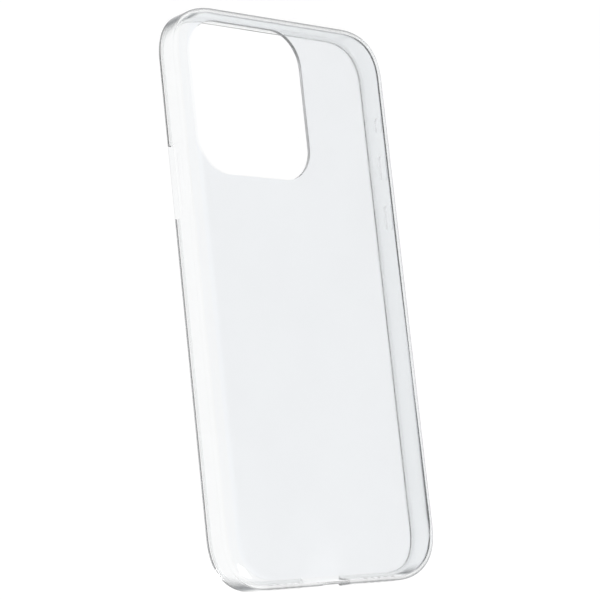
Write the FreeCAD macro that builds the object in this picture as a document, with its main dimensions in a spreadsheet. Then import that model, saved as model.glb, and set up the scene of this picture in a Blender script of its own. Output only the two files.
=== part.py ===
"""Slim clear phone case: a hard back panel held in a soft bumper frame, with four sprung button pads.

The case lies on its front rim. The origin is the middle of that rim, +Z points to the back,
+Y to the camera end, and +X to the right as seen from the back. Units are millimetres.
"""

import FreeCAD, Part
import Sketcher
import math
import os

doc = FreeCAD.newDocument("PhoneCase")

# ---------------------------------------------------------------- driving dimensions

SIZES = [
    ("phone_length", 159.9, "phone that the case holds: length"),
    ("phone_width", 76.7, "phone: width"),
    ("phone_depth", 8.25, "phone: thickness"),
    ("phone_corner", 12.4, "phone: corner radius seen from the back"),
    ("phone_gap", 0.1, "play between phone and case, on each side"),
    ("wall_side", 1.1, "side wall thickness"),
    ("wall_back", 1.1, "back thickness"),
    ("back_round", 4.5, "radius between side wall and back, outside"),
    ("rim_round", 0.6, "radius on the outer edge of the front rim"),
    ("lip_depth", 0.9, "front lip: height over the screen"),
    ("lip_reach", 1.1, "front lip: reach in over the screen"),
    ("seam_inset", 2.3, "bond line on the back, in from the side of the case"),
    ("tongue_width", 0.8, "panel tongue under the frame: width"),
    ("tongue_depth", 0.55, "panel tongue under the frame: thickness"),
    ("camera_width", 41.1, "camera cut-out: size across the case"),
    ("camera_length", 43.8, "camera cut-out: size along the case"),
    ("camera_corner", 10.1, "camera cut-out: corner radius"),
    ("camera_from_side", 1.85, "camera cut-out: in from the side of the phone"),
    ("camera_from_top", 3.7, "camera cut-out: down from the top of the phone"),
    ("port_width", 12.0, "charging notch: width at its closed end"),
    ("port_mouth", 15.0, "charging notch: width at the rim"),
    ("port_rise", 2.175, "charging notch: closed end, above the middle of the phone"),
    ("port_corner", 2.4, "charging notch: corner radius at its closed end"),
    ("sound_hole", 1.6, "sound hole: diameter"),
    ("sound_pitch", 2.7, "sound holes: spacing in a row"),
    ("sound_first", 12.4, "sound holes: first hole from the middle of the case"),
    ("button_height", 3.9, "button pads: size through the thickness of the phone"),
    ("button_proud", 0.2, "button pads: stand out from the side wall"),
    ("button_recess", 0.45, "button pads: back face, short of the phone"),
    ("side_pad", 17.4, "side button pad: length"),
    ("action_pad", 5.7, "action button pad: length"),
    ("volume_pad", 8.8, "volume button pads: length"),
    ("side_from_top", 48.5, "side button: middle, down from the top of the phone"),
    ("action_from_top", 26.6, "action button: middle, down from the top of the phone"),
    ("volume_up_from_top", 39.5, "volume up button: middle, down from the top of the phone"),
    ("volume_down_from_top", 54.7, "volume down button: middle, down from the top of the phone"),
    ("web_end", 1.5, "thin web round a pad: width past the ends of the pad"),
    ("web_edge", 0.45, "thin web round a pad: width above and below the pad"),
    ("web_thickness", 0.4, "thin web round a pad: thickness"),
    ("web_sink", 0.15, "thin web round a pad: below the outside of the wall"),
    ("web_clearance", 0.05, "gap between a pad and its web"),
    ("relief_skin", 0.5, "wall left outside the relief under the side button"),
    ("overcut", 1.0, "how far cutting shapes run past what they cut"),
]
SOUND_HOLES_PER_ROW = 5
TOLERANCE = 1e-4
QUARTER_TURN = math.pi / 2
UPWARDS = FreeCAD.Vector(0, 0, 1)

sheet = doc.addObject("Spreadsheet::Sheet", "Sizes")
for row, (alias, value, meaning) in enumerate(SIZES, start=1):
    sheet.set(f"A{row}", meaning)
    sheet.set(f"B{row}", str(value))
    sheet.setAlias(f"B{row}", alias)
doc.recompute()

# Distances that several pieces share, written once as expressions on the sheet.
HALF_WIDTH = "(Sizes.phone_width / 2 + Sizes.phone_gap + Sizes.wall_side)"
HALF_LENGTH = "(Sizes.phone_length / 2 + Sizes.phone_gap + Sizes.wall_side)"
MIDDLE = "(Sizes.lip_depth + Sizes.phone_depth / 2)"
CAVITY_TOP = "(Sizes.lip_depth + Sizes.phone_depth + Sizes.phone_gap)"
BACK = f"({CAVITY_TOP} + Sizes.wall_back)"


# ---------------------------------------------------------------- shared shapes

def bind(thing, **expressions):
    """Ties properties to expressions; a double underscore in a name stands for a dot."""
    for name, expression in expressions.items():
        thing.setExpression(name.replace("__", "."), expression)


def flat_sketch(body, role, across, along, height):
    """Empty sketch on one of the body's own origin planes, moved by three expressions."""
    plane = [p for p in body.Origin.OriginFeatures if p.Role == role][0]
    sketch = body.newObject("Sketcher::SketchObject", body.Name + "Sketch")
    sketch.AttachmentSupport = [(plane, "")]
    sketch.MapMode = "FlatFace"
    bind(
        sketch,
        AttachmentOffset__Base__x=across,
        AttachmentOffset__Base__y=along,
        AttachmentOffset__Base__z=height,
    )
    return sketch


def name_last(sketch, name, expression):
    """Names the constraint added last and ties it to an expression."""
    sketch.renameConstraint(sketch.ConstraintCount - 1, name)
    sketch.setExpression("Constraints." + name, expression)


def pad(body, sketch, length):
    """Pads a sketch by a length given as an expression."""
    block = body.newObject("PartDesign::Pad", body.Name + "Pad")
    block.Profile = sketch
    block.setExpression("Length", length)
    body.Tip = block
    doc.recompute()
    return block


def rounded_prism(name, role, size_u, size_v, corner, place, length):
    """Body with a rounded rectangle, centred on its sketch's own origin, padded along the normal."""
    body = doc.addObject("PartDesign::Body", name)
    sketch = flat_sketch(body, role, *place)
    half_u, half_v, radius = 20.0, 30.0, 5.0
    corners = [(1, 1), (-1, 1), (-1, -1), (1, -1)]
    for turn, (sign_u, sign_v) in enumerate(corners):
        centre = FreeCAD.Vector(sign_u * (half_u - radius), sign_v * (half_v - radius), 0)
        circle = Part.Circle(centre, UPWARDS, radius)
        arc = Part.ArcOfCircle(circle, turn * QUARTER_TURN, (turn + 1) * QUARTER_TURN)
        sketch.addGeometry(arc, False)
    ends = [sketch.getPoint(arc, point) for arc in range(4) for point in (1, 2)]
    for side in range(4):
        start = ends[2 * side + 1]
        finish = ends[(2 * side + 2) % 8]
        sketch.addGeometry(Part.LineSegment(start, finish), False)
    for side in range(4):
        line = 4 + side
        sketch.addConstraint(Sketcher.Constraint("Tangent", side, 2, line, 1))
        sketch.addConstraint(Sketcher.Constraint("Tangent", line, 2, (side + 1) % 4, 1))
    sketch.addConstraint(Sketcher.Constraint("Horizontal", 4))
    sketch.addConstraint(Sketcher.Constraint("Vertical", 5))
    sketch.addConstraint(Sketcher.Constraint("Horizontal", 6))
    sketch.addConstraint(Sketcher.Constraint("Vertical", 7))
    sketch.addConstraint(Sketcher.Constraint("Symmetric", 0, 3, 2, 3, -1, 1))
    for arc in (1, 2, 3):
        sketch.addConstraint(Sketcher.Constraint("Equal", 0, arc))
    sketch.addConstraint(Sketcher.Constraint("Radius", 0, radius))
    name_last(sketch, "corner", corner)
    sketch.addConstraint(Sketcher.Constraint("DistanceX", 5, 1, 7, 1, 2 * half_u))
    name_last(sketch, "size_u", size_u)
    sketch.addConstraint(Sketcher.Constraint("DistanceY", 6, 1, 4, 1, 2 * half_v))
    name_last(sketch, "size_v", size_v)
    pad(body, sketch, length)
    return body


def level_edges(shape, height):
    """Names of the edges that lie flat at one height."""
    found = []
    for number, edge in enumerate(shape.Edges, start=1):
        box = edge.BoundBox
        if abs(box.ZMin - height) < TOLERANCE and abs(box.ZMax - height) < TOLERANCE:
            found.append(f"Edge{number}")
    return found


def round_level(body, height, radius):
    """Rounds every edge of a body that lies at one height."""
    base = body.Tip
    fillet = body.newObject("PartDesign::Fillet", body.Name + "Round")
    fillet.Base = (base, level_edges(base.Shape, height))
    fillet.setExpression("Radius", radius)
    body.Tip = fillet
    doc.recompute()


def case_block(name, inset, bottom, top, top_round=None):
    """Block with the case's outline moved in by an inset, and a rounded edge at its top."""
    body = rounded_prism(
        name,
        "XY_Plane",
        f"2 * ({HALF_WIDTH} - ({inset}))",
        f"2 * ({HALF_LENGTH} - ({inset}))",
        f"Sizes.phone_corner + Sizes.phone_gap + Sizes.wall_side - ({inset})",
        ("0", "0", bottom),
        f"{top} - ({bottom})",
    )
    if top_round:
        round_level(body, body.Shape.BoundBox.ZMax, top_round)
    return body


def boolean(kind, name, first, second):
    """Part::Cut or Part::Common of two objects."""
    result = doc.addObject("Part::" + kind, name)
    result.Base = first
    result.Tool = second
    return result


def fuse(name, shapes):
    """Part::MultiFuse of several objects."""
    result = doc.addObject("Part::MultiFuse", name)
    result.Shapes = shapes
    return result


# ---------------------------------------------------------------- the shell both mouldings come from

outer = case_block("OuterBlock", "0", "0", BACK, "Sizes.back_round")
round_level(outer, 0.0, "Sizes.rim_round")
cavity = case_block(
    "CavityBlock", "Sizes.wall_side", "Sizes.lip_depth", CAVITY_TOP,
    "Sizes.back_round - Sizes.wall_side",
)
mouth = case_block(
    "MouthBlock", "Sizes.wall_side + Sizes.lip_reach", "-Sizes.overcut",
    "(Sizes.lip_depth + Sizes.overcut)",
)
hollow = fuse("Hollow", [cavity, mouth])
shell = boolean("Cut", "Shell", outer, hollow)

# ---------------------------------------------------------------- back panel: hard plate with a tongue

panel_face = case_block("PanelFace", "Sizes.seam_inset", MIDDLE, f"({BACK} + Sizes.overcut)")
tongue_reach = case_block(
    "TongueReach", "Sizes.seam_inset - Sizes.tongue_width", MIDDLE, f"({BACK} + Sizes.overcut)"
)
tongue_skin = case_block(
    "TongueSkin", "Sizes.wall_side - Sizes.tongue_depth", "Sizes.lip_depth",
    f"({CAVITY_TOP} + Sizes.tongue_depth)",
    "Sizes.back_round - Sizes.wall_side + Sizes.tongue_depth",
)
tongue_zone = boolean("Common", "TongueZone", tongue_reach, tongue_skin)
panel_zone = fuse("PanelZone", [panel_face, tongue_zone])
camera_cut = rounded_prism(
    "CameraCut",
    "XY_Plane",
    "Sizes.camera_width",
    "Sizes.camera_length",
    "Sizes.camera_corner",
    (
        "Sizes.camera_from_side + Sizes.camera_width / 2 - Sizes.phone_width / 2",
        "Sizes.phone_length / 2 - Sizes.camera_from_top - Sizes.camera_length / 2",
        MIDDLE,
    ),
    f"{BACK} + Sizes.overcut - {MIDDLE}",
)
panel_blank = boolean("Common", "PanelBlank", shell, panel_zone)
back_panel = boolean("Cut", "BackPanel", panel_blank, camera_cut)
back_panel.Label = "back_panel"

# ---------------------------------------------------------------- charging notch, open at the rim


def charging_notch():
    """Body that cuts the notch: a flared U in the bottom wall, rounded at its closed end."""
    body = doc.addObject("PartDesign::Body", "ChargingNotch")
    cut_depth = "(Sizes.wall_side + Sizes.lip_reach + 2 * Sizes.overcut)"
    sketch = flat_sketch(body, "XZ_Plane", "0", "0", f"{HALF_LENGTH} + Sizes.overcut - {cut_depth}")
    mouth_half, end_half, top, drop, radius = 12.0, 7.0, 6.0, 1.0, 2.0
    low_left = FreeCAD.Vector(-mouth_half, -drop, 0)
    low_right = FreeCAD.Vector(mouth_half, -drop, 0)
    arc_ends = {}
    for side, sign in (("right", 1), ("left", -1)):
        centre = FreeCAD.Vector(sign * (end_half - radius), top - radius, 0)
        arc_ends[side] = (centre, centre + FreeCAD.Vector(sign * radius, 0, 0))
    right_circle = Part.Circle(arc_ends["right"][0], UPWARDS, radius)
    left_circle = Part.Circle(arc_ends["left"][0], UPWARDS, radius)
    sketch.addGeometry(Part.ArcOfCircle(right_circle, 0, QUARTER_TURN), False)
    sketch.addGeometry(Part.ArcOfCircle(left_circle, QUARTER_TURN, 2 * QUARTER_TURN), False)
    sketch.addGeometry(Part.LineSegment(sketch.getPoint(0, 2), sketch.getPoint(1, 1)), False)
    sketch.addGeometry(Part.LineSegment(arc_ends["left"][1], low_left), False)
    sketch.addGeometry(Part.LineSegment(low_left, low_right), False)
    sketch.addGeometry(Part.LineSegment(low_right, arc_ends["right"][1]), False)
    sketch.addConstraint(Sketcher.Constraint("Tangent", 0, 2, 2, 1))
    sketch.addConstraint(Sketcher.Constraint("Tangent", 2, 2, 1, 1))
    sketch.addConstraint(Sketcher.Constraint("Tangent", 1, 2, 3, 1))
    sketch.addConstraint(Sketcher.Constraint("Coincident", 3, 2, 4, 1))
    sketch.addConstraint(Sketcher.Constraint("Coincident", 4, 2, 5, 1))
    sketch.addConstraint(Sketcher.Constraint("Tangent", 5, 2, 0, 1))
    sketch.addConstraint(Sketcher.Constraint("Symmetric", 4, 1, 4, 2, -2))
    sketch.addConstraint(Sketcher.Constraint("Symmetric", 1, 3, 0, 3, -2))
    sketch.addConstraint(Sketcher.Constraint("Equal", 0, 1))
    sketch.addConstraint(Sketcher.Constraint("Radius", 0, radius))
    name_last(sketch, "corner", "Sizes.port_corner")
    sketch.addConstraint(Sketcher.Constraint("DistanceX", 4, 1, 4, 2, 2 * mouth_half))
    name_last(sketch, "mouth", "Sizes.port_mouth")
    sketch.addConstraint(Sketcher.Constraint("DistanceX", 1, 3, 0, 3, 2 * (end_half - radius)))
    name_last(sketch, "closed_end", "Sizes.port_width - 2 * Sizes.port_corner")
    sketch.addConstraint(Sketcher.Constraint("DistanceY", -1, 1, 2, 1, top))
    name_last(sketch, "height", f"{MIDDLE} + Sizes.port_rise")
    sketch.addConstraint(Sketcher.Constraint("DistanceY", 4, 1, -1, 1, drop))
    name_last(sketch, "below", "Sizes.rim_round")
    pad(body, sketch, cut_depth)
    return body


notch = charging_notch()

# ---------------------------------------------------------------- sound holes beside the notch


def sound_hole(name, side, number):
    """Cylinder along Y through the bottom wall."""
    hole = doc.addObject("Part::Cylinder", name)
    hole.Placement = FreeCAD.Placement(
        FreeCAD.Vector(0, 0, 0), FreeCAD.Rotation(FreeCAD.Vector(1, 0, 0), -90)
    )
    bind(
        hole,
        Radius="Sizes.sound_hole / 2",
        Height="Sizes.wall_side + 2 * Sizes.overcut",
        Placement__Base__x=f"{side} * (Sizes.sound_first + {number} * Sizes.sound_pitch)",
        Placement__Base__y=f"-{HALF_LENGTH} - Sizes.overcut",
        Placement__Base__z=MIDDLE,
    )
    return hole


sound_holes = []
for side in (-1, 1):
    row_name = "Left" if side < 0 else "Right"
    for number in range(SOUND_HOLES_PER_ROW):
        sound_holes.append(sound_hole(f"SoundHole{row_name}{number + 1}", side, number))

# ---------------------------------------------------------------- buttons: window, thin web and pad

web_outside = case_block(
    "WebOutside", "Sizes.web_sink", "0", f"({BACK} - Sizes.web_sink)",
    "Sizes.back_round - Sizes.web_sink",
)
web_inside = case_block(
    "WebInside", "Sizes.web_sink + Sizes.web_thickness", "-Sizes.overcut",
    f"({BACK} - Sizes.web_sink - Sizes.web_thickness)",
    "Sizes.back_round - Sizes.web_sink - Sizes.web_thickness",
)
web_layer = boolean("Cut", "WebLayer", web_outside, web_inside)
pad_outside = case_block(
    "PadOutside", "-Sizes.button_proud", "0", f"({BACK} + Sizes.button_proud)",
    "Sizes.back_round + Sizes.button_proud",
)
pad_inside = case_block(
    "PadInside", "Sizes.wall_side - Sizes.button_recess", "-Sizes.overcut",
    f"({CAVITY_TOP} + Sizes.button_recess)",
    "Sizes.back_round - Sizes.wall_side + Sizes.button_recess",
)
pad_layer = boolean("Cut", "PadLayer", pad_outside, pad_inside)


def side_prism(name, side, length, height, from_top):
    """Stadium-ended prism through one side wall, centred on a button."""
    reach = "(Sizes.button_proud + Sizes.wall_side + Sizes.lip_reach + 2 * Sizes.overcut)"
    if side < 0:
        start = f"-{HALF_WIDTH} - Sizes.button_proud - Sizes.overcut"
    else:
        start = f"{HALF_WIDTH} + Sizes.button_proud + Sizes.overcut - {reach}"
    return rounded_prism(
        name,
        "YZ_Plane",
        length,
        height,
        f"({height}) / 2 - 0.01",
        (f"Sizes.phone_length / 2 - {from_top}", MIDDLE, start),
        reach,
    )


def button(name, side, pad_length, from_top):
    """One button: the window in the frame, the web that fills it and the pad in its middle."""
    title = "".join(word.capitalize() for word in name.split("_"))
    window = side_prism(
        title + "Window", side,
        f"{pad_length} + 2 * Sizes.web_end",
        "Sizes.button_height + 2 * Sizes.web_edge", from_top,
    )
    gap = side_prism(
        title + "Gap", side,
        f"{pad_length} + 2 * Sizes.web_clearance",
        "Sizes.button_height + 2 * Sizes.web_clearance", from_top,
    )
    slug = side_prism(title + "Slug", side, pad_length, "Sizes.button_height", from_top)
    ring = boolean("Cut", title + "Ring", window, gap)
    web = boolean("Common", title + "Web", web_layer, ring)
    web.Label = name + "_web"
    pad_piece = boolean("Common", title + "Pad", pad_layer, slug)
    pad_piece.Label = name
    return window, web, pad_piece


side_window, side_web, side_pad = button("side_button", -1, "Sizes.side_pad", "Sizes.side_from_top")
action_window, action_web, action_pad = button(
    "action_button", 1, "Sizes.action_pad", "Sizes.action_from_top"
)
up_window, up_web, up_pad = button(
    "volume_up_button", 1, "Sizes.volume_pad", "Sizes.volume_up_from_top"
)
down_window, down_web, down_pad = button(
    "volume_down_button", 1, "Sizes.volume_pad", "Sizes.volume_down_from_top"
)

# ---------------------------------------------------------------- relief under the side button

relief = doc.addObject("Part::Box", "SideButtonRelief")
bind(
    relief,
    Length="Sizes.wall_side + Sizes.lip_reach + Sizes.overcut - Sizes.relief_skin",
    Width="Sizes.side_pad + 2 * Sizes.web_end",
    Height=f"{MIDDLE} - Sizes.button_height / 2 + Sizes.overcut",
    Placement__Base__x=f"-{HALF_WIDTH} + Sizes.relief_skin",
    Placement__Base__y="Sizes.phone_length / 2 - Sizes.side_from_top - Sizes.side_pad / 2 - Sizes.web_end",
    Placement__Base__z="-Sizes.overcut",
)

# ---------------------------------------------------------------- bumper frame: soft moulding round the panel

frame_blank = boolean("Cut", "FrameBlank", shell, panel_zone)
frame_cuts = fuse(
    "FrameCuts",
    [notch, relief, side_window, action_window, up_window, down_window] + sound_holes,
)
bumper_frame = boolean("Cut", "BumperFrame", frame_blank, frame_cuts)
bumper_frame.Label = "bumper_frame"

# ---------------------------------------------------------------- check and write

doc.recompute()
pieces = [
    back_panel, bumper_frame,
    side_pad, side_web, action_pad, action_web, up_pad, up_web, down_pad, down_web,
]
for thing in doc.Objects:
    if {"Invalid", "Error"} & set(thing.State):
        raise RuntimeError(f"{thing.Name} failed to build")
for piece in pieces:
    if piece.Shape.isNull() or not piece.Shape.isValid() or not piece.Shape.Solids:
        raise RuntimeError(f"{piece.Label} has no sound shape")

os.makedirs("parts", exist_ok=True)
for piece in pieces:
    piece.Shape.exportStep(f"parts/{piece.Label}.step")
    print(f"{piece.Label}: {len(piece.Shape.Solids)} solid, {piece.Shape.Volume:.2f} mm3")
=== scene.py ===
import math

import bmesh
import bpy
import numpy as np
from mathutils import Matrix, Vector


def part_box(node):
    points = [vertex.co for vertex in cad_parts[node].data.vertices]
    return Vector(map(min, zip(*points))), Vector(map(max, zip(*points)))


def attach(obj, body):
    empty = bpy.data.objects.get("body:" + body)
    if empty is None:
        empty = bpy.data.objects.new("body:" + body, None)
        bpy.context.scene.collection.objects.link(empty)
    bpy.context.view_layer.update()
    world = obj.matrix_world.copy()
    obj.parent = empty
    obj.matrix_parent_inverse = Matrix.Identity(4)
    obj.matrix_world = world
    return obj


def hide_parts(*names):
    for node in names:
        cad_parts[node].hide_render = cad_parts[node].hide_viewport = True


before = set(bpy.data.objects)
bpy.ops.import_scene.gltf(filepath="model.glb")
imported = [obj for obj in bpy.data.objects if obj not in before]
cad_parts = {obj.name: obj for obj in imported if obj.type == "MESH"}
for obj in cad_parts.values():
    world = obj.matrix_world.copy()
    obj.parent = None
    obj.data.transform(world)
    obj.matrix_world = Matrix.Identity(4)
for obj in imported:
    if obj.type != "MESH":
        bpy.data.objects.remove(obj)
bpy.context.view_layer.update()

MM = 0.001
scene = bpy.context.scene

# ------------------------------------------------------------------------------------------ camera
# The case lies on its front rim and is seen from its left and above with a long lens, rolled a
# little, so that its long edges run almost parallel down the frame.

CAMERA_AZIMUTH = math.radians(-76.47)
CAMERA_ELEVATION = math.radians(45.86)
CAMERA_ROLL = math.radians(-6.1)
CAMERA_DISTANCE = 0.6158
CAMERA_AIM = Vector((-0.00028, -0.00081, 0.00475))
CAMERA_LENS = 131.1
SENSOR_WIDTH = 36.0


def towards(azimuth, elevation):
    """Unit vector at an azimuth from the -Y side, turning to +X, and an elevation; radians."""
    level = math.cos(elevation)
    return Vector((level * math.sin(azimuth), -level * math.cos(azimuth), math.sin(elevation)))


def facing(direction, distance, aim, roll=0.0):
    """Matrix of something that stands off from a point, looks back at it and keeps +Y upwards."""
    right = Vector((0.0, 1.0, 0.0)).cross(direction).normalized()
    up = direction.cross(right)
    axes = Matrix((right, up, direction)).transposed().to_4x4()
    return Matrix.Translation(aim + direction * distance) @ axes @ Matrix.Rotation(roll, 4, "Z")


camera_data = bpy.data.cameras.new("camera")
camera_data.lens = CAMERA_LENS
camera_data.sensor_width = SENSOR_WIDTH
camera_data.clip_start = 0.01
camera = bpy.data.objects.new("camera", camera_data)
scene.collection.objects.link(camera)
camera.matrix_world = facing(
    towards(CAMERA_AZIMUTH, CAMERA_ELEVATION), CAMERA_DISTANCE, CAMERA_AIM, CAMERA_ROLL
)
scene.camera = camera

# ------------------------------------------------------------------------------------------ studio
# A plain white sweep under one soft box, in a plain room. Clear plastic shows its shape by what it
# bends and mirrors, so the room falls off to a dim grey on the side opposite the camera.

LIGHT_BOUNCES = 32

scene.view_settings.view_transform = "Standard"
scene.cycles.max_bounces = LIGHT_BOUNCES
scene.cycles.transmission_bounces = LIGHT_BOUNCES
scene.cycles.glossy_bounces = LIGHT_BOUNCES

FLOOR_HALF = 3.0
FLOOR_DROP = 0.2 * MM
FLOOR_ALBEDO = 0.8
FLOOR_GLOW = 0.95
FLOOR_SHADE = 0.12


def lay_floor():
    """Square sheet under the case: pale and matt, and near white where it is looked at."""
    mesh = bpy.data.meshes.new("floor")
    h, z = FLOOR_HALF, -FLOOR_DROP
    mesh.from_pydata([(-h, -h, z), (h, -h, z), (h, h, z), (-h, h, z)], [], [(0, 1, 2, 3)])
    sheet = bpy.data.objects.new("floor", mesh)
    scene.collection.objects.link(sheet)
    paper = bpy.data.materials.new("white_sweep")
    paper.use_nodes = True
    nodes, links = paper.node_tree.nodes, paper.node_tree.links
    nodes.clear()
    out = nodes.new("ShaderNodeOutputMaterial")
    matt = nodes.new("ShaderNodeBsdfDiffuse")
    matt.inputs["Color"].default_value = (FLOOR_ALBEDO, FLOOR_ALBEDO, FLOOR_ALBEDO, 1)
    seen = nodes.new("ShaderNodeBsdfDiffuse")
    seen.inputs["Color"].default_value = (FLOOR_SHADE, FLOOR_SHADE, FLOOR_SHADE, 1)
    glow = nodes.new("ShaderNodeEmission")
    glow.inputs["Strength"].default_value = FLOOR_GLOW
    both = nodes.new("ShaderNodeAddShader")
    links.new(seen.outputs[0], both.inputs[0])
    links.new(glow.outputs[0], both.inputs[1])
    path = nodes.new("ShaderNodeLightPath")
    looked_at = path.outputs["Is Camera Ray"]
    for kind in ("Is Transmission Ray", "Is Glossy Ray"):
        either = nodes.new("ShaderNodeMath")
        either.operation = "MAXIMUM"
        links.new(looked_at, either.inputs[0])
        links.new(path.outputs[kind], either.inputs[1])
        looked_at = either.outputs[0]
    choose = nodes.new("ShaderNodeMixShader")
    links.new(looked_at, choose.inputs[0])
    links.new(matt.outputs[0], choose.inputs[1])
    links.new(both.outputs[0], choose.inputs[2])
    links.new(choose.outputs[0], out.inputs["Surface"])
    mesh.materials.append(paper)
    return sheet


lay_floor()

BRIGHT_SIDE = 0.55
DARK_SIDE = 0.14
FALL_FROM, FALL_TO = -0.05, 0.35
ENDS_LIFT = 0.9


def hang_room():
    """World that is bright on the -X side, overhead and past both ends, and dark on the +X side.

    The fall runs along x - ENDS_LIFT |y| of the direction looked in.
    """
    world = bpy.data.worlds.new("studio_room")
    scene.world = world
    world.use_nodes = True
    nodes, links = world.node_tree.nodes, world.node_tree.links
    place = nodes.new("ShaderNodeTexCoord")
    split = nodes.new("ShaderNodeSeparateXYZ")
    links.new(place.outputs["Generated"], split.inputs["Vector"])
    fall = nodes.new("ShaderNodeMapRange")
    fall.interpolation_type = "SMOOTHSTEP"
    fall.inputs["From Min"].default_value = FALL_FROM
    fall.inputs["From Max"].default_value = FALL_TO
    fall.inputs["To Min"].default_value = BRIGHT_SIDE
    fall.inputs["To Max"].default_value = DARK_SIDE
    end_on = nodes.new("ShaderNodeMath")
    end_on.operation = "ABSOLUTE"
    links.new(split.outputs["Y"], end_on.inputs[0])
    along = nodes.new("ShaderNodeMath")
    along.operation = "MULTIPLY_ADD"
    along.inputs[1].default_value = -ENDS_LIFT
    links.new(end_on.outputs[0], along.inputs[0])
    links.new(split.outputs["X"], along.inputs[2])
    links.new(along.outputs[0], fall.inputs["Value"])
    links.new(fall.outputs["Result"], nodes["Background"].inputs["Color"])


hang_room()


BOX_AZIMUTH = math.radians(-20)
BOX_ELEVATION = math.radians(25)
BOX_DISTANCE = 1.2
BOX_SIDE = 0.7
BOX_WATTS = 11.0


def hang_soft_box():
    """Square area lamp near the charging end, low enough to gleam on the walls only."""
    lamp = bpy.data.lights.new("front_box", "AREA")
    lamp.shape = "RECTANGLE"
    lamp.size = BOX_SIDE
    lamp.size_y = BOX_SIDE
    lamp.energy = BOX_WATTS
    box = bpy.data.objects.new("front_box", lamp)
    scene.collection.objects.link(box)
    stands = towards(BOX_AZIMUTH, BOX_ELEVATION)
    box.matrix_world = facing(stands, BOX_DISTANCE, Vector((0, 0, 0)))


hang_soft_box()

# -------------------------------------------------------------------------------------- back panel
# Hard clear plate, moulded first in polycarbonate and polished on both faces. Its edge curls over
# into a thin tongue that the soft frame is moulded round. The camera cut-out goes right through.

HALF_WIDTH, HALF_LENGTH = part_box("bumper_frame")[1][:2]
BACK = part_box("back_panel")[1][2]
WALL = 1.1 * MM
BACK_ROUND = 4.5 * MM
INNER_ROUND = BACK_ROUND - WALL
ROUND_HEIGHT = BACK - BACK_ROUND
CORNER_REACH = 15.5 * MM
CORNER_POWER = 2.4
SEAM_INSET = 2.3 * MM
TONGUE_INSET = 1.5 * MM
TONGUE_ROUND = INNER_ROUND + 0.55 * MM
HAIRLINE = 0.005 * MM
CUT_LOW = np.array([-36.5, 32.45]) * MM
CUT_HIGH = np.array([4.6, 76.25]) * MM
CUT_CORNER = 10.1 * MM
CUT_EDGE = 0.04 * MM
BENT_WIDTH = 3.4 * MM


def case_outline(long_steps=100, short_steps=36, corner_steps=44):
    """Plan outline of the case, anticlockwise from the right, and its outward normals.

    Each corner is a quarter of |x/a|^p + |y/a|^p = 1, which meets the straight sides with no jump
    in curvature. With t from 0 to a quarter turn, x = a cos(t)^(2/p) and y = a sin(t)^(2/p), and
    the normal runs along (cos(t)^(2-2/p), sin(t)^(2-2/p)).
    """
    t = np.linspace(0, np.pi / 2, corner_steps)
    cos, sin = np.clip(np.cos(t), 0, 1), np.sin(t)
    corner = CORNER_REACH * np.stack([cos, sin], 1) ** (2 / CORNER_POWER)
    normal = np.stack([cos, sin], 1) ** (2 - 2 / CORNER_POWER)
    normal /= np.linalg.norm(normal, axis=1, keepdims=True)
    centre = np.array([HALF_WIDTH, HALF_LENGTH]) - CORNER_REACH
    quarter = np.array([[0, 1], [-1, 0]])
    turn = np.eye(2)
    points, normals = [], []
    for signs, steps in zip(((1, 1), (-1, 1), (-1, -1), (1, -1)), (short_steps, long_steps) * 2):
        points.append(corner @ turn + centre * signs)
        normals.append(normal @ turn)
        turn = turn @ quarter
        following = np.array([CORNER_REACH, 0]) @ turn + centre * (np.array(signs) @ quarter)
        share = np.linspace(0, 1, steps + 1)[1:-1, None]
        points.append(points[-1][-1] + (following - points[-1][-1]) * share)
        normals.append(np.repeat(normals[-1][-1:], steps - 1, 0))
    return np.concatenate(points), np.concatenate(normals)


RIM_POINTS, RIM_NORMALS = case_outline()


def inset_of(plan):
    """How far plan points lie in from the outline, along the nearest outline point's normal.

    The points are taken in batches, because the distances to every outline point fill memory.
    """
    flat = plan.reshape(-1, 2)
    found = np.empty(len(flat))
    batch = 4000
    for start in range(0, len(flat), batch):
        part = flat[start:start + batch]
        nearest = np.argmin(((part[:, None] - RIM_POINTS[None]) ** 2).sum(2), 1)
        found[start:start + batch] = ((RIM_POINTS[nearest] - part) * RIM_NORMALS[nearest]).sum(1)
    return found.reshape(plan.shape[:-1])


def height_at(inset, radius):
    """Height of a rounded skin: a quarter circle about the shared centre, and then flat."""
    rise = np.clip(BACK_ROUND - inset, 0, None)
    return ROUND_HEIGHT + np.sqrt(np.clip(radius ** 2 - rise ** 2, 0, None))


def cut_out_ring(centre, directions):
    """Where rays from the middle of the cut-out meet its rounded rectangle, and the normals there.

    A ray first meets the rectangle; where that point lies in a corner square, the ray is met with
    the corner's circle instead, by the quadratic for |s d - c| = r.
    """
    half = (CUT_HIGH - CUT_LOW) / 2
    size = np.abs(directions)
    hit = size * np.min(half / np.maximum(size, 1e-12), axis=1)[:, None]
    inner = half - CUT_CORNER
    in_corner = (hit > inner).all(1)[:, None]
    unit = size / np.linalg.norm(size, axis=1, keepdims=True)
    along = unit @ inner
    reach = along + np.sqrt(np.clip(along ** 2 - inner @ inner + CUT_CORNER ** 2, 0, None))
    hit = np.where(in_corner, unit * reach[:, None], hit)
    normal = np.where(in_corner, (hit - inner) / CUT_CORNER, (hit > half - 1e-9) * 1.0)
    sign = np.where(directions < 0, -1.0, 1.0)
    return centre + hit * sign, normal * sign


def piece_of(name, points, faces, materials, slots=None):
    """Object from points and faces, with its materials and each face's material slot."""
    mesh = bpy.data.meshes.new(name)
    mesh.from_pydata(points.tolist(), [], faces)
    for material in materials:
        mesh.materials.append(material)
    if slots is not None:
        mesh.polygons.foreach_set("material_index", slots.astype(np.int32))
    mesh.update()
    piece = bpy.data.objects.new(name, mesh)
    scene.collection.objects.link(piece)
    return piece


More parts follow.
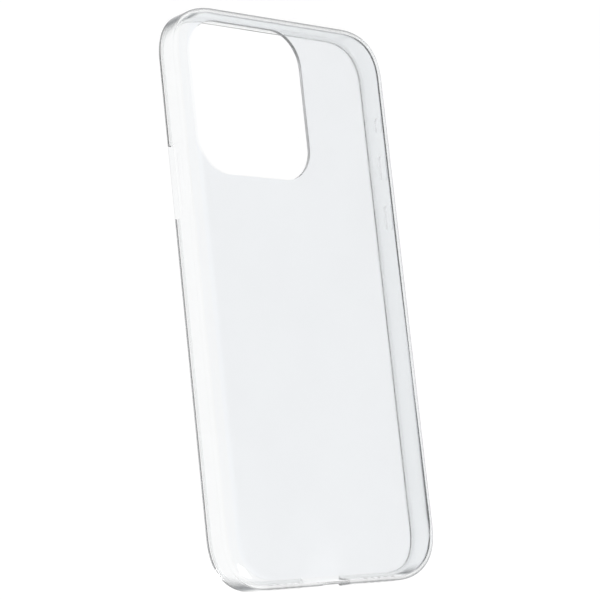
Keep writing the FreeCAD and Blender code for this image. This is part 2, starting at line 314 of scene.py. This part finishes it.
def ring_piece(name, grid, materials, bands):
    """Object from a grid that closes both ways: round the case and along its profile.

    Each band gives two profile columns, and the faces between them wear the material of that
    band's own number, counted from 1.
    """
    around, along = grid.shape[:2]
    i, j = np.arange(around)[:, None], np.arange(along)[None]
    k, m = (i + 1) % around, (j + 1) % along
    quads = np.stack([i * along + j, k * along + j, k * along + m, i * along + m], 2)
    slots = np.zeros((around, along), dtype=int)
    for number, (first, last) in enumerate(bands, 1):
        slots[:, first:last] = min(number, len(materials) - 1)
    return piece_of(
        name, grid.reshape(-1, 3), quads.reshape(-1, 4).tolist(), materials, slots.ravel()
    )


def outward(piece):
    """Turns every face of a closed piece outwards."""
    work = bmesh.new()
    work.from_mesh(piece.data)
    bmesh.ops.recalc_face_normals(work, faces=work.faces)
    work.to_mesh(piece.data)
    work.free()


def smooth(piece, angle=32.0):
    """Shades a piece smooth, except across edges that turn more than an angle in degrees."""
    mesh = piece.data
    mesh.polygons.foreach_set("use_smooth", np.ones(len(mesh.polygons), dtype=bool))
    mesh.set_sharp_from_angle(angle=math.radians(angle))


PLASTIC_IOR = 1.5
# Near-black colour that the clear finishes are mixed towards where they are seen edge-on: painted
# shade, not a tint of the plastic.
PAINTED_SHADE_TINT = (0.02, 0.025, 0.03, 1)
# Normal and view ranges over which that painted shade is laid: on bends seen edge-on, and further
# round at the plan corners.
UP_SHARE = 0.4
CORNER_TURN = (0.05, 0.25)
CORNER_VIEW = (0.45, 0.72)
RIM_VIEW = (0.48, 0.80)
LEAVES_WALL = (0.04, 0.2)
MEETS_FLAT = (0.8, 0.97)
RIPPLE_DEPTH = 0.05 * MM
PALEST_CLOUD = 0.992


def clear_plastic(name, tint, polish, ripple, ripple_size, haze_size, corner_depth):
    """Polished clear plastic: refracts, tints a little, and is nowhere quite flat or quite even.

    Broad clouds set how sharp the polish is, finer ones break it up, and the surface rolls gently
    like any moulded face. Where a bend is seen nearly edge-on, its base colour is painted almost
    black: painted shade that stands in for the dark outlines refraction gives there. At the rounded
    plan corners this painted shade reaches further round, by a share that the last argument gives.
    """
    material = bpy.data.materials.new(name)
    material.use_nodes = True
    nodes, links = material.node_tree.nodes, material.node_tree.links
    shader = nodes["Principled BSDF"]
    shader.inputs["IOR"].default_value = PLASTIC_IOR
    shader.inputs["Transmission Weight"].default_value = 1.0
    place = nodes.new("ShaderNodeTexCoord")

    def clouds(size, detail):
        """Noise of a cloud size in millimetres."""
        noise = nodes.new("ShaderNodeTexNoise")
        noise.inputs["Scale"].default_value = 1 / (size * MM)
        noise.inputs["Detail"].default_value = detail
        links.new(place.outputs["Object"], noise.inputs["Vector"])
        return noise.outputs["Fac"]

    def spread(value, low, high, start=0.3, stop=0.7):
        """Maps a value's range, by default the middle of a noise, to another range, softly."""
        mapped = nodes.new("ShaderNodeMapRange")
        mapped.interpolation_type = "SMOOTHSTEP"
        mapped.inputs["From Min"].default_value = start
        mapped.inputs["From Max"].default_value = stop
        mapped.inputs["To Min"].default_value = low
        mapped.inputs["To Max"].default_value = high
        links.new(value, mapped.inputs["Value"])
        return mapped.outputs["Result"]

    def maths(operation, first, second):
        """Sum, product or other result of two values, each an output or a number."""
        node = nodes.new("ShaderNodeMath")
        node.operation = operation
        for value, socket in zip((first, second), node.inputs):
            if isinstance(value, (int, float)):
                socket.default_value = value
            else:
                links.new(value, socket)
        return node.outputs[0]

    links.new(spread(clouds(haze_size, 4.0), *polish), shader.inputs["Roughness"])
    shade = nodes.new("ShaderNodeMixRGB")
    shade.inputs["Color1"].default_value = (*[c * PALEST_CLOUD for c in tint], 1)
    shade.inputs["Color2"].default_value = (*tint, 1)
    links.new(spread(clouds(haze_size * 3, 1.0), 0.0, 1.0), shade.inputs["Fac"])
    edge_on = nodes.new("ShaderNodeLayerWeight")
    edge_on.inputs["Blend"].default_value = 0.5
    shape = nodes.new("ShaderNodeNewGeometry")
    split = nodes.new("ShaderNodeSeparateXYZ")
    links.new(shape.outputs["Normal"], split.inputs["Vector"])
    across, along, up = (maths("ABSOLUTE", split.outputs[axis], 0.0) for axis in "XYZ")
    # Painted shade at the plan corners: where the outline turns, the near black is laid from a
    # wider view range, by the corner share.
    sideways = maths("ADD", edge_on.outputs["Facing"], maths("MULTIPLY", up, -UP_SHARE))
    corner = spread(maths("MULTIPLY", across, along), 0.0, 1.0, *CORNER_TURN)
    corner_shade = maths("MULTIPLY", spread(sideways, 0.0, corner_depth, *CORNER_VIEW), corner)
    off_wall = spread(up, 0.0, 1.0, *LEAVES_WALL)
    off_flat = spread(up, 1.0, 0.0, *MEETS_FLAT)
    bend = maths("MULTIPLY", off_wall, off_flat)
    # Painted shade on the bends: near black where a bend, off the flat and off the wall, is seen
    # nearly edge-on.
    rim = maths("MULTIPLY", spread(edge_on.outputs["Facing"], 0.0, 1.0, *RIM_VIEW), bend)
    # Mixes the base colour towards near black by the larger of the two painted-shade masks.
    painted_shade = nodes.new("ShaderNodeMixRGB")
    painted_shade.inputs["Color2"].default_value = PAINTED_SHADE_TINT
    links.new(maths("MAXIMUM", corner_shade, rim), painted_shade.inputs["Fac"])
    links.new(shade.outputs["Color"], painted_shade.inputs["Color1"])
    links.new(painted_shade.outputs["Color"], shader.inputs["Base Color"])
    bump = nodes.new("ShaderNodeBump")
    bump.inputs["Strength"].default_value = ripple
    bump.inputs["Distance"].default_value = RIPPLE_DEPTH
    links.new(clouds(ripple_size, 1.0), bump.inputs["Height"])
    links.new(bump.outputs["Normal"], shader.inputs["Normal"])
    return material


def bond_line(name):
    """Face where two clear mouldings are welded: light goes straight on, with no gloss."""
    material = bpy.data.materials.new(name)
    material.use_nodes = True
    shader = material.node_tree.nodes["Principled BSDF"]
    shader.inputs["Base Color"].default_value = (1, 1, 1, 1)
    shader.inputs["Roughness"].default_value = 0.0
    shader.inputs["IOR"].default_value = 1.0
    shader.inputs["Specular IOR Level"].default_value = 0.0
    shader.inputs["Transmission Weight"].default_value = 1.0
    return material


GRAIN_SIZE = 0.4 * MM
GRAIN_SWING = 0.3


def satin_face(name, tint, roughness):
    """Face left as the steel left it, a little matt, so it shows as an even grey edge."""
    material = bpy.data.materials.new(name)
    material.use_nodes = True
    nodes, links = material.node_tree.nodes, material.node_tree.links
    shader = nodes["Principled BSDF"]
    shader.inputs["Base Color"].default_value = (*tint, 1)
    shader.inputs["IOR"].default_value = PLASTIC_IOR
    shader.inputs["Transmission Weight"].default_value = 1.0
    place = nodes.new("ShaderNodeTexCoord")
    grain = nodes.new("ShaderNodeTexNoise")
    grain.inputs["Scale"].default_value = 1 / GRAIN_SIZE
    links.new(place.outputs["Object"], grain.inputs["Vector"])
    rough = nodes.new("ShaderNodeMapRange")
    rough.inputs["To Min"].default_value = roughness * (1 - GRAIN_SWING)
    rough.inputs["To Max"].default_value = roughness * (1 + GRAIN_SWING)
    links.new(grain.outputs["Fac"], rough.inputs["Value"])
    links.new(rough.outputs["Result"], shader.inputs["Roughness"])
    return material


def panel_grid():
    """Grid of the panel: rays run from the cut-out to the seam, and a closed profile follows them.

    Outside face: plan = cut-out ring moved to the seam ring by a share w, with w bunched towards
    the seam, over the BENT_WIDTH that is not flat, by a quarter sine wave; height = rounded skin
    at that plan point's inset. Then the seam step, the tongue, and
    the inside face the same way back, and last the wall of the cut-out with a small round at its
    two edges.
    """
    seam = RIM_POINTS - RIM_NORMALS * (SEAM_INSET + HAIRLINE)
    tip = RIM_POINTS - RIM_NORMALS * (TONGUE_INSET + HAIRLINE)
    centre = (CUT_LOW + CUT_HIGH) / 2
    ring, ring_normal = cut_out_ring(centre, seam - centre)
    edge = ring + ring_normal * CUT_EDGE

    def face(outer, radius):
        """Columns from the cut-out's edge out to an outer ring, on one skin."""
        length = np.linalg.norm(outer - edge, axis=1)
        share = np.minimum(0.75, BENT_WIDTH / length)[:, None]
        flat = np.linspace(0, 1, 14)[None, :-1] * (1 - share)
        bend = (1 - share) + share * np.sin(np.linspace(0, np.pi / 2, 18))[None]
        w = np.concatenate([flat, bend], 1)[..., None]
        plan = edge[:, None] * (1 - w) + outer[:, None] * w
        return np.concatenate([plan, height_at(inset_of(plan), radius)[..., None]], 2)

    outside = face(seam, BACK_ROUND)
    inside = face(tip, INNER_ROUND)[:, ::-1]
    inset = np.linspace(SEAM_INSET + HAIRLINE, TONGUE_INSET + HAIRLINE, 6)
    rise = height_at(inset, TONGUE_ROUND - HAIRLINE)
    tongue = carried_round(np.stack([inset, rise], 1))
    quarter = np.linspace(0, np.pi / 2, 6)[None, 1:]
    plan = ring[:, None] + ring_normal[:, None] * (CUT_EDGE * (1 - np.sin(quarter)))[..., None]
    fall = CUT_EDGE * (1 - np.cos(quarter))
    low = np.concatenate([plan, (inside[:, -1:, 2] + fall)[..., None]], 2)
    high = np.concatenate([plan, (outside[:, :1, 2] - fall)[..., None]], 2)
    bond = (outside.shape[1] - 1, outside.shape[1] + tongue.shape[1])
    grid = np.concatenate([outside, tongue, inside, low, high[:, ::-1]], 1)
    wall = (grid.shape[1] - low.shape[1] - high.shape[1] - 1, grid.shape[1])
    return grid, bond, wall


def carried_round(section):
    """Grid of a cross-section carried round the case: plan = outline - normal * inset."""
    plan = RIM_POINTS[:, None] - RIM_NORMALS[:, None] * section[None, :, :1]
    height = np.broadcast_to(section[None, :, 1:], (len(RIM_POINTS), len(section), 1))
    return np.concatenate([plan, height], 2)


def seat(piece, node, body):
    """Puts a finished piece in place of its node, on its body: faces turned outwards and shaded
    smooth.
    """
    outward(piece)
    smooth(piece)
    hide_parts(node)
    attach(piece, body)


HARD_TINT = (0.940, 0.957, 0.974)
HARD_POLISH = (0.06, 0.12)
CUT_TINT = (0.90, 0.91, 0.92)
hard_clear = clear_plastic(
    "hard_clear", HARD_TINT, HARD_POLISH, ripple=0.05, ripple_size=14.0, haze_size=5.0,
    corner_depth=0.0,
)
weld = bond_line("weld")
cut_face = satin_face("cut_face", CUT_TINT, roughness=0.85)
panel_points, panel_bond, panel_wall = panel_grid()
back_panel = ring_piece(
    "hard_back_panel", panel_points, [hard_clear, weld, cut_face], [panel_bond, panel_wall]
)
seat(back_panel, "back_panel", "case")


def clear_walls(panel, direction, satin, clear):
    """Gives the matt walls of the cut-out that look in one direction the clear finish instead."""
    faces = panel.data.polygons
    slots = np.zeros(len(faces), dtype=np.int32)
    normals = np.zeros(len(faces) * 3)
    faces.foreach_get("material_index", slots)
    faces.foreach_get("normal", normals)
    slots[(slots == satin) & (normals.reshape(-1, 3) @ direction > 0)] = clear
    faces.foreach_set("material_index", slots)


clear_walls(back_panel, direction=(0.8, 0.6, 0.0), satin=2, clear=1)

# ------------------------------------------------------------------------------------ bumper frame
# Soft clear polyurethane, moulded round the panel's edge in a second shot: back round, side wall,
# front lip. Steel cores leave the button windows, the charging notch and the sound holes.

LIP_HEIGHT = 0.9 * MM
LIP_INSET = 2.2 * MM
RIM_ROUND = 0.6 * MM
LIP_NOSE = 0.5 * MM
LIP_ROUND = 0.23 * MM
MIDDLE = 5.025 * MM


def arc(inset, height, radius, start, stop, steps):
    """Arc in the wall's cross-section, as insets and heights; degrees, 0 towards the middle."""
    angle = np.radians(np.linspace(start, stop, steps))
    return np.stack([inset + radius * np.cos(angle), height + radius * np.sin(angle)], 1)


def frame_section():
    """Closed cross-section of the frame: front rim, outer wall and round, seam, inside, lip."""
    def angle_at(inset, radius):
        return 180 - math.degrees(math.acos((BACK_ROUND - inset) / radius))

    seam, tip = SEAM_INSET - HAIRLINE, TONGUE_INSET - HAIRLINE
    step = TONGUE_ROUND + HAIRLINE
    r, h = BACK_ROUND, ROUND_HEIGHT
    outside = [
        arc(RIM_ROUND, RIM_ROUND, RIM_ROUND, 270, 180, 9),
        arc(r, h, r, 180, angle_at(seam, r), 24),
    ]
    under_tongue = [arc(r, h, step, angle_at(seam, step), angle_at(tip, step), 6)]
    inside = [
        arc(r, h, INNER_ROUND, angle_at(tip, INNER_ROUND), 180, 14),
        arc(WALL + LIP_ROUND, LIP_HEIGHT + LIP_ROUND, LIP_ROUND, 180, 270, 7),
        arc(LIP_INSET - LIP_ROUND, LIP_NOSE - LIP_ROUND, LIP_ROUND, 90, 0, 7),
        arc(LIP_INSET - LIP_ROUND, LIP_ROUND, LIP_ROUND, 0, -90, 7),
    ]
    before = sum(len(part) for part in outside)
    return np.concatenate(outside + under_tongue + inside), (before - 1, before + 6)


SOFT_TINT = (0.952, 0.960, 0.962)
SOFT_POLISH = (0.03, 0.10)
EDGE_TINT = (0.97, 0.975, 0.98)
# The soft frame takes the painted corner shade in full; the hard panel takes none.
soft_clear = clear_plastic(
    "soft_clear", SOFT_TINT, SOFT_POLISH, ripple=0.08, ripple_size=6.0, haze_size=2.5,
    corner_depth=1.0,
)
moulded_edge = satin_face("moulded_edge", EDGE_TINT, roughness=0.7)
frame_points, frame_bond = frame_section()
bumper_frame = ring_piece(
    "soft_bumper_frame",
    carried_round(frame_points),
    [soft_clear, weld, moulded_edge],
    [frame_bond],
)


def slot_shape(along, length, height, steps=20):
    """Slot with round ends in (y, z) and its normals: half circles joined by straight edges."""
    angle = np.linspace(-np.pi / 2, np.pi / 2, steps)
    normal = np.stack([np.cos(angle), np.sin(angle)], 1)
    normal = np.concatenate([normal, -normal])
    centre = np.repeat([[(length - height) / 2, 0], [(height - length) / 2, 0]], steps, 0)
    return normal * height / 2 + centre + (along, MIDDLE), normal


def core(name, outline, axis, rings, bonded=None, satin=False):
    """Steel core that leaves a hole: outlines joined from ring to ring, closed at both ends.

    Each ring is (grow, places): the outline moved out along its normals, and where it stands along
    the axis, as one number or one for each point.
    """
    shape, normal = outline
    count = len(shape)
    across = [k for k in range(3) if k != axis]
    points = np.zeros((len(rings), count, 3))
    for ring, (grow, places) in zip(points, rings):
        ring[:, across] = shape + normal * grow
        ring[:, axis] = places
    k = np.arange(count)
    after = (k + 1) % count
    faces, slots = [], []
    for step in range(len(rings) - 1):
        low, high = step * count, (step + 1) * count
        faces += np.stack([low + k, low + after, high + after, high + k], 1).tolist()
        slots += [1 if step == bonded else 2 if satin else 0] * count
    faces += [k[::-1].tolist(), (k + (len(rings) - 1) * count).tolist()]
    slots += [0, 0]
    materials = [soft_clear, weld, moulded_edge]
    piece = piece_of(name, points.reshape(-1, 3), faces, materials, np.array(slots))
    outward(piece)
    return piece


def wall_reach(height, radius):
    """How far out a skin of one radius stands at a height: straight at first, then a circle."""
    rise = np.clip(height - ROUND_HEIGHT, 0, None)
    return HALF_WIDTH - BACK_ROUND + np.sqrt(radius ** 2 - rise ** 2)


# Side of the case, middle along it, length, width of the pad's shoulder, depth of its pocket.
BUTTONS = {
    "side_button": (-1, 31.45 * MM, 17.4 * MM, 1.8 * MM, 0.2 * MM),
    "action_button": (1, 53.35 * MM, 5.7 * MM, 1.1 * MM, 0.45 * MM),
    "volume_up_button": (1, 40.45 * MM, 8.8 * MM, 1.1 * MM, 0.45 * MM),
    "volume_down_button": (1, 25.25 * MM, 8.8 * MM, 1.1 * MM, 0.45 * MM),
}
PAD_HEIGHT = 3.9 * MM
WEB_END = 1.5 * MM
WEB_EDGE = 0.45 * MM
WEB_ROUND = BACK_ROUND - 0.05 * MM
WEB_INNER_ROUND = INNER_ROUND + 0.05 * MM
CORE_OUT = 41 * MM
CORE_IN = 36 * MM
cores = []
for name, (side, along, length, _, _) in BUTTONS.items():
    window = slot_shape(along, length + 2 * WEB_END, PAD_HEIGHT + 2 * WEB_EDGE)
    height = window[0][:, 1]
    cores.append(core(name + "_core", window, 0, [
        (0, side * CORE_OUT),
        (0, side * (wall_reach(height, BACK_ROUND) - HAIRLINE)),
        (0, side * (wall_reach(height, INNER_ROUND) + HAIRLINE)),
        (0, side * CORE_IN),
    ], bonded=1))

angle = np.linspace(0, 2 * np.pi, 33)[:-1]
circle = np.stack([np.cos(angle), np.sin(angle)], 1)
SOUND_HOLE = 1.6 * MM
FIRST_HOLE = 12.4 * MM
HOLE_PITCH = 2.7 * MM
HOLES_A_SIDE = 5
HOLE_EASE = 0.1 * MM
END_OUT = -83 * MM
HOLE_END_IN = -78.6 * MM
NOTCH_END_IN = -77.95 * MM
for side in (-1, 1):
    for number in range(HOLES_A_SIDE):
        centre = (side * (FIRST_HOLE + HOLE_PITCH * number), MIDDLE)
        hole = (circle * SOUND_HOLE / 2 + centre, circle)
        cores.append(core("sound_core", hole, 1, [
            (HOLE_EASE, END_OUT),
            (HOLE_EASE, -HALF_LENGTH),
            (0, -HALF_LENGTH + HOLE_EASE),
            (0, HOLE_END_IN),
        ]))


NOTCH_ROUND = 2.4 * MM
NOTCH_TOP = 7.2 * MM
NOTCH_HALF_END = 6.0 * MM
NOTCH_MOUTH = (7.5 * MM, -0.6 * MM)


def notch_shape():
    """Flared U in (x, z): flanks run straight from the mouth to meet a round in each top corner."""
    centre = np.array([NOTCH_HALF_END - NOTCH_ROUND, NOTCH_TOP - NOTCH_ROUND])
    slope = NOTCH_MOUTH - centre
    start = math.atan2(slope[1], slope[0]) + math.acos(NOTCH_ROUND / math.hypot(*slope))
    angle = np.linspace(start, np.pi / 2, 16)
    normal = np.stack([np.cos(angle), np.sin(angle)], 1)
    right = np.concatenate([[NOTCH_MOUTH], centre + NOTCH_ROUND * normal])
    facing_right = np.concatenate([normal[:1], normal])
    points = np.concatenate([right, right[::-1] * (-1, 1)])
    normals = np.concatenate([facing_right, facing_right[::-1] * (-1, 1)])
    return points, normals


NOTCH_EASE = 0.35 * MM
NOTCH_EASE_STEPS = np.linspace(0, np.pi / 2, 6)
cores.append(core("notch_core", notch_shape(), 1, [
    (NOTCH_EASE, END_OUT),
    *[
        (NOTCH_EASE * (1 - np.sin(turn)), -HALF_LENGTH + NOTCH_EASE * (1 - np.cos(turn)))
        for turn in NOTCH_EASE_STEPS
    ],
    (0, NOTCH_END_IN),
], satin=True))
RELIEF_FROM, RELIEF_TO = 21.25 * MM, 41.65 * MM
RELIEF_FOOT, RELIEF_TOP = -1.0 * MM, 2.6 * MM
RELIEF_SKIN = 0.5 * MM
RELIEF_IN = -36.35 * MM
relief_corners = np.array([
    [RELIEF_FROM, RELIEF_FOOT],
    [RELIEF_TO, RELIEF_FOOT],
    [RELIEF_TO, RELIEF_TOP],
    [RELIEF_FROM, RELIEF_TOP],
])
cores.append(core("relief_core", (relief_corners, relief_corners * 0), 0, [
    (0, -HALF_WIDTH + RELIEF_SKIN), (0, RELIEF_IN),
], bonded=0))
for tool in cores:
    step = bumper_frame.modifiers.new(tool.name, "BOOLEAN")
    step.object = tool
    step.solver = "EXACT"
cut_mesh = bpy.data.meshes.new_from_object(
    bumper_frame.evaluated_get(bpy.context.evaluated_depsgraph_get())
)
bumper_frame.modifiers.clear()
bumper_frame.data = cut_mesh
for tool in cores:
    bpy.data.objects.remove(tool)
seat(bumper_frame, "bumper_frame", "case")

# -------------------------------------------------------------------------------- webs and buttons
# Each button is a thick pad in the middle of a thin web, moulded with the frame. The web stretches
# when the pad is pressed. The pad swells a little proud, and stops short of the key behind it.

PAD_ROUND = BACK_ROUND + 0.2 * MM
WEB_GAP = HAIRLINE
SAME_POINT = 0.002 * MM


def web_grid(side, along, length):
    """Flat ring between two slots: across the outside, over its edge, and back across the inside.

    With w from 0 at the pad to 1 at the wall, each skin's radius = web's + (wall's - web's) times
    half a cosine wave of w, so the web runs into the wall with no step and sinks in round the pad.
    """
    inner, _ = slot_shape(along, length + 2 * WEB_GAP, PAD_HEIGHT + 2 * WEB_GAP)
    grow = 2 * (WEB_EDGE - HAIRLINE)
    outer, _ = slot_shape(along, length + 2 * (WEB_END - HAIRLINE), PAD_HEIGHT + grow)
    w = np.linspace(0, 1, 9)
    plan = inner[:, None] * (1 - w[:, None]) + outer[:, None] * w[:, None]
    blend = 0.5 - 0.5 * np.cos(np.pi * w)
    skins = (
        (WEB_ROUND, BACK_ROUND - HAIRLINE, 1),
        (WEB_INNER_ROUND, INNER_ROUND + HAIRLINE, -1),
    )
    faces = []
    for at_pad, at_wall, order in skins:
        reach = side * wall_reach(plan[..., 1], at_pad + (at_wall - at_pad) * blend)
        faces.append(np.concatenate([reach[..., None], plan], 2)[:, ::order])
    return np.concatenate(faces, 1), [(len(w) - 1, len(w)), (2 * len(w) - 1, 2 * len(w))]


def swell(depth, shoulder):
    """Smooth rise from 0 at the rim to 1 at a shoulder's depth in: half a cosine wave."""
    return 0.5 - 0.5 * np.cos(np.pi * np.clip(depth / shoulder, 0, 1))


def pad_piece(name, side, along, length, shoulder, recess):
    """Cushion-shaped pad: rings of its slot drawn in towards the middle, on two swelling skins.

    Skin radius at a depth in from the rim = web's radius + (pad's radius - web's) * swell(depth).
    """
    rim, normal = slot_shape(along, length, PAD_HEIGHT)
    spine = rim - normal * PAD_HEIGHT / 2
    depths = np.concatenate([np.linspace(0, shoulder, 14), [PAD_HEIGHT / 2]])
    rings = []
    skins = ((WEB_ROUND, PAD_ROUND, -1), (WEB_INNER_ROUND, INNER_ROUND + recess, 1))
    for low, high, order in skins:
        for depth in depths[::order]:
            plan = rim + (spine - rim) * depth / (PAD_HEIGHT / 2)
            reach = side * wall_reach(plan[:, 1], low + (high - low) * swell(depth, shoulder))
            rings.append(np.concatenate([reach[:, None], plan], 1))
    points = np.stack(rings)
    count, around = points.shape[:2]
    k = np.arange(around)
    after = (k + 1) % around
    faces, slots = [], []
    for ring in range(count - 1):
        low, high = ring * around, (ring + 1) * around
        faces += np.stack([low + k, low + after, high + after, high + k], 1).tolist()
        slots += [int(ring == len(depths) - 1)] * around
    pad = piece_of(name, points.reshape(-1, 3), faces, [soft_clear, weld], np.array(slots))
    work = bmesh.new()
    work.from_mesh(pad.data)
    bmesh.ops.remove_doubles(work, verts=work.verts, dist=SAME_POINT)
    bmesh.ops.holes_fill(work, edges=[edge for edge in work.edges if edge.is_boundary])
    work.to_mesh(pad.data)
    work.free()
    return pad


for name, (side, along, length, shoulder, recess) in BUTTONS.items():
    web_points, web_bond = web_grid(side, along, length)
    web = ring_piece(name + "_soft_web", web_points, [soft_clear, weld], web_bond)
    seat(web, name + "_web", "case")
    pad = pad_piece(name + "_soft_pad", side, along, length, shoulder, recess)
    seat(pad, name, name + "_pad")
